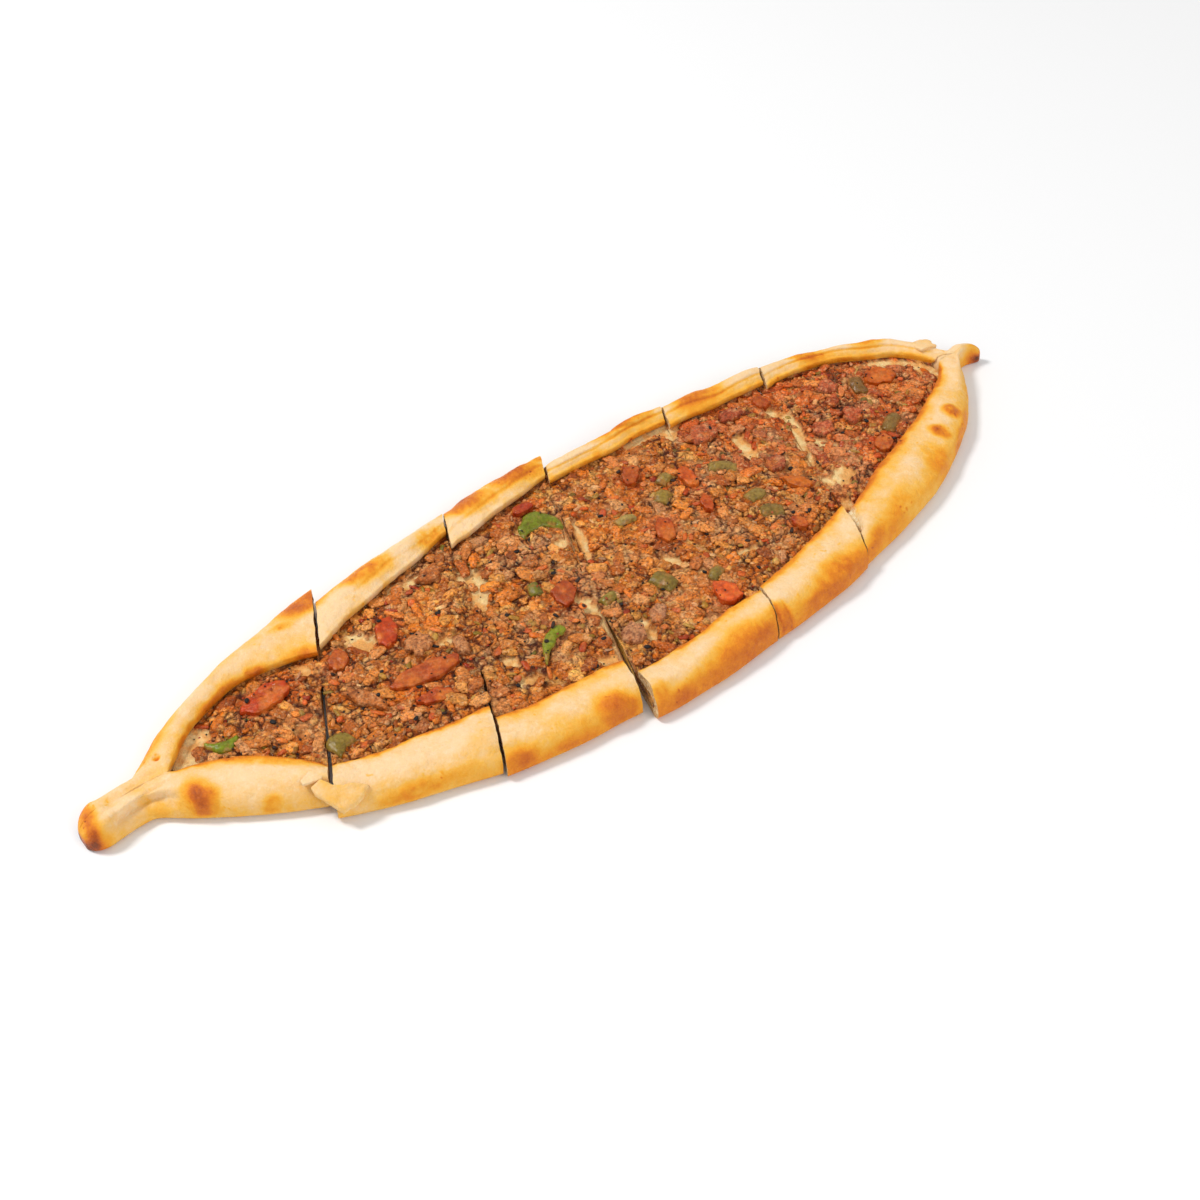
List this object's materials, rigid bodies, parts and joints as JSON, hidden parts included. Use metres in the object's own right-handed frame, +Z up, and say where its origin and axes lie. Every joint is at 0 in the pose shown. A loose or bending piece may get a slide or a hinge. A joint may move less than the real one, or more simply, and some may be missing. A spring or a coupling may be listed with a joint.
{
  "type": "turkish pide",
  "caption": "Long boat-shaped flat bread with folded rims and pinched tips, filled with chopped meat, tomato and green pepper, cut across into slices that lie together.",
  "frame": {"origin": "centre of the footprint, on the surface that the food lies on", "axes": "+X along the boat from the broad pinched tip to the small knob, +Y across it to the back rim, +Z up"},
  "size_m": [0.4946, 0.1601, 0.0141],
  "materials": {
    "crust": "baked bread crust, cream with golden brown patches, satin",
    "filling": "chopped meat filling, oily",
    "pepper": "cooked green pepper, glossy",
    "tomato": "cooked tomato, glossy",
    "meat": "cooked meat, oily"
  },
  "bodies": {
    "root": {"crust_1": "crust", "crust_2": "crust", "crust_3": "crust", "crust_4": "crust", "crust_5": "crust", "crust_6": "crust", "filling_1": "filling", "filling_2": "filling", "filling_3": "filling", "filling_4": "filling", "filling_5": "filling", "filling_6": "filling", "pepper_1": "pepper", "pepper_2": "pepper", "pepper_3": "pepper", "pepper_4": "pepper", "pepper_5": "pepper", "pepper_6": "pepper", "pepper_7": "pepper", "pepper_8": "pepper", "pepper_9": "pepper", "pepper_10": "pepper", "pepper_11": "pepper", "pepper_12": "pepper", "pepper_13": "pepper", "pepper_14": "pepper", "pepper_15": "pepper", "pepper_16": "pepper", "tomato_1": "tomato", "tomato_2": "tomato", "tomato_3": "tomato", "tomato_4": "tomato", "tomato_5": "tomato", "tomato_6": "tomato", "tomato_7": "tomato", "tomato_8": "tomato", "tomato_9": "tomato", "tomato_10": "tomato", "tomato_11": "tomato", "tomato_12": "tomato", "tomato_13": "tomato", "tomato_14": "tomato", "tomato_15": "tomato", "tomato_16": "tomato", "tomato_17": "tomato", "meat_1": "meat", "meat_2": "meat", "meat_3": "meat", "meat_4": "meat", "meat_5": "meat", "meat_6": "meat", "meat_7": "meat", "meat_8": "meat", "meat_9": "meat", "meat_10": "meat", "meat_11": "meat", "meat_12": "meat"}
  },
  "joints": []
}
